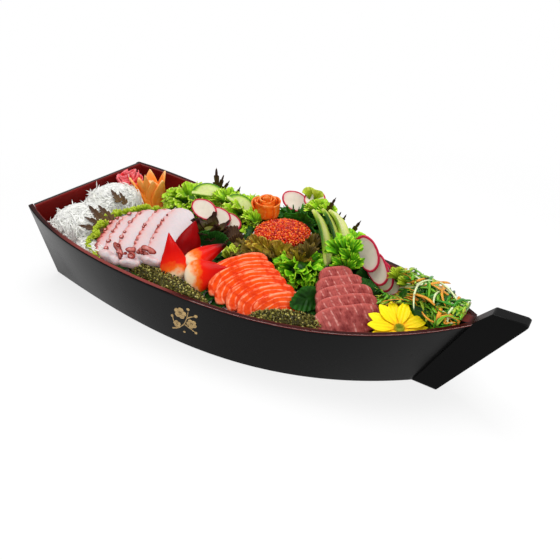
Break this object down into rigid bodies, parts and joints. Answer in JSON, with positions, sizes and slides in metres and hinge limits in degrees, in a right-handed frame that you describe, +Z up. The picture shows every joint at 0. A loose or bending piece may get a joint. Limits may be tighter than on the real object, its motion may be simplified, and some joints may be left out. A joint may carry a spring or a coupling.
{
  "type": "sushi boat",
  "caption": "Small lacquered wooden serving boat with flared sides, a square stern and a raked stem post, laden with sliced sashimi, leaves and a dish of roe.",
  "frame": {"origin": "on the table, under the middle of the boat's bounding box", "axes": "+X to the bow, +Y to port, +Z up; the decorated starboard side faces -Y"},
  "size_m": [0.5426, 0.2092, 0.1215],
  "materials": {
    "black_lacquer": "polished black lacquer on wood, red inside",
    "red_lacquer": "red lacquer on wood",
    "daikon": "moist shredded white radish",
    "ginger": "moist pickled ginger",
    "carrot": "cut raw carrot",
    "lettuce": "curled green leaf",
    "red_lettuce": "curled red-brown leaf",
    "octopus": "moist white flesh with a purple-red edge",
    "clam": "glossy red to cream flesh",
    "sea_grapes": "olive frizzy seaweed",
    "salmon": "moist orange flesh with pale fat lines",
    "tuna": "satin dark red flesh with pale sinews",
    "shiso": "matt dark green leaf",
    "dish": "white glazed",
    "roe": "glistening beads",
    "cucumber": "cut pale green flesh, dark skin",
    "radish": "cut white flesh, pink-red skin",
    "seaweed": "glossy green strands",
    "petal": "yellow petals",
    "eye": "green florets"
  },
  "bodies": {
    "hull": {"bottom_board": "black_lacquer", "starboard_side": "black_lacquer", "port_side": "black_lacquer", "transom": "black_lacquer", "stem_post": "black_lacquer"},
    "deck_load": {"deck": "red_lacquer", "daikon_bed": "daikon", "daikon_mound": "daikon", "ginger": "ginger", "carrot_tulip": "carrot", "frill_stern": "lettuce", "lettuce_stern": "lettuce", "lettuce_mid": "lettuce", "lettuce_back": "lettuce", "lettuce_front": "lettuce", "lettuce_bow": "lettuce", "red_lettuce_left": "red_lettuce", "red_lettuce_front": "red_lettuce", "octopus_1": "octopus", "octopus_2": "octopus", "octopus_3": "octopus", "octopus_4": "octopus", "octopus_5": "octopus", "clam_1": "clam", "clam_2": "clam", "clam_3": "clam", "clam_4": "clam", "sea_grapes_1": "sea_grapes", "sea_grapes_2": "sea_grapes", "salmon_1": "salmon", "salmon_2": "salmon", "salmon_3": "salmon", "salmon_4": "salmon", "salmon_5": "salmon", "salmon_6": "salmon", "tuna_1": "tuna", "tuna_2": "tuna", "tuna_3": "tuna", "tuna_4": "tuna", "tuna_5": "tuna", "shiso_leaf": "shiso", "cucumber_half_1": "cucumber", "cucumber_half_2": "cucumber", "cucumber_strip_1": "cucumber", "cucumber_strip_2": "cucumber", "cucumber_strip_3": "cucumber", "radish_left_1": "radish", "radish_left_2": "radish", "radish_left_3": "radish", "radish_centre_1": "radish", "radish_right_1": "radish", "radish_right_2": "radish", "radish_right_3": "radish", "radish_right_4": "radish", "salmon_rose": "salmon", "seaweed_salad": "seaweed", "flower_petals": "petal", "flower_eye": "eye"},
    "dish": {"roe_dish": "dish", "roe": "roe"}
  },
  "joints": [
    {"name": "deck_lift", "type": "slide", "parent": "hull", "child": "deck_load", "axis": [0, 0, 1], "range_m": [0, 0.12]},
    {"name": "dish_lift", "type": "slide", "parent": "deck_load", "child": "dish", "axis": [0, 0, 1], "range_m": [0, 0.06]}
  ]
}
